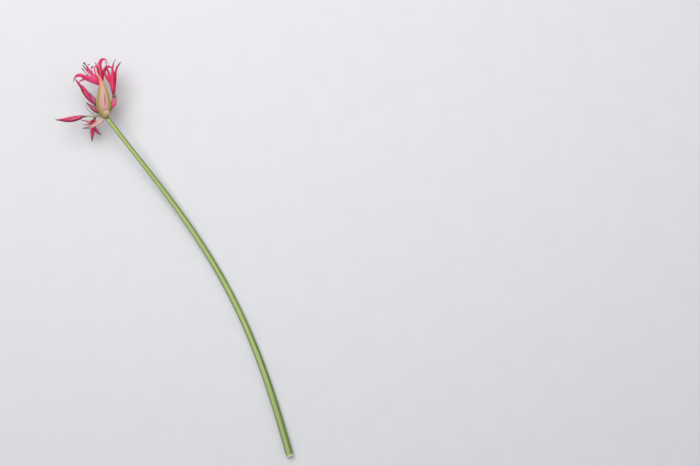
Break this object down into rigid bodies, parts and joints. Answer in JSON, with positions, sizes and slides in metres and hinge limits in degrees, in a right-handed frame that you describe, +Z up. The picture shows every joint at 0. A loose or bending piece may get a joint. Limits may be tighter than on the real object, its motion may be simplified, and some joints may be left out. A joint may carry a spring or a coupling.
{
  "type": "nerine flower stem",
  "caption": "Cut nerine stem lying down: a long bare green scape with an umbel of pink-red florets with narrow recurved tepals, slim buds and papery spathe valves.",
  "frame": {"origin": "under the middle of the whole stem's box, on the surface that it lies on", "axes": "+Z up, +Y along the stem from its cut foot to its head, +X to the right seen from above"},
  "size_m": [0.1228, 0.6358, 0.0715],
  "materials": {
    "stem_green": "satin",
    "pedicel_green": "satin",
    "tepal_pink": "satin",
    "bud_pink": "satin",
    "stamen_pink": "satin",
    "spathe_buff": "matte"
  },
  "bodies": {
    "root": {"scape": "stem_green", "spathe_valve_upper": "spathe_buff", "spathe_valve_lower": "spathe_buff", "floret_1_pedicel": "pedicel_green", "floret_1_tepals": "tepal_pink", "floret_1_stamens": "stamen_pink", "floret_2_pedicel": "pedicel_green", "floret_2_tepals": "tepal_pink", "floret_2_stamens": "stamen_pink", "floret_3_pedicel": "pedicel_green", "floret_3_tepals": "tepal_pink", "floret_3_stamens": "stamen_pink", "floret_4_pedicel": "pedicel_green", "floret_4_tepals": "tepal_pink", "floret_4_stamens": "stamen_pink", "floret_5_pedicel": "pedicel_green", "floret_5_tepals": "tepal_pink", "floret_5_stamens": "stamen_pink", "floret_6_pedicel": "pedicel_green", "floret_6_tepals": "tepal_pink", "floret_6_stamens": "stamen_pink", "floret_7_pedicel": "pedicel_green", "floret_7_tepals": "tepal_pink", "floret_7_stamens": "stamen_pink", "bud_1_pedicel": "pedicel_green", "bud_1_tepals": "bud_pink", "bud_2_pedicel": "pedicel_green", "bud_2_tepals": "bud_pink", "bud_3_pedicel": "pedicel_green", "bud_3_tepals": "bud_pink", "bud_4_pedicel": "pedicel_green", "bud_4_tepals": "bud_pink"}
  },
  "joints": []
}
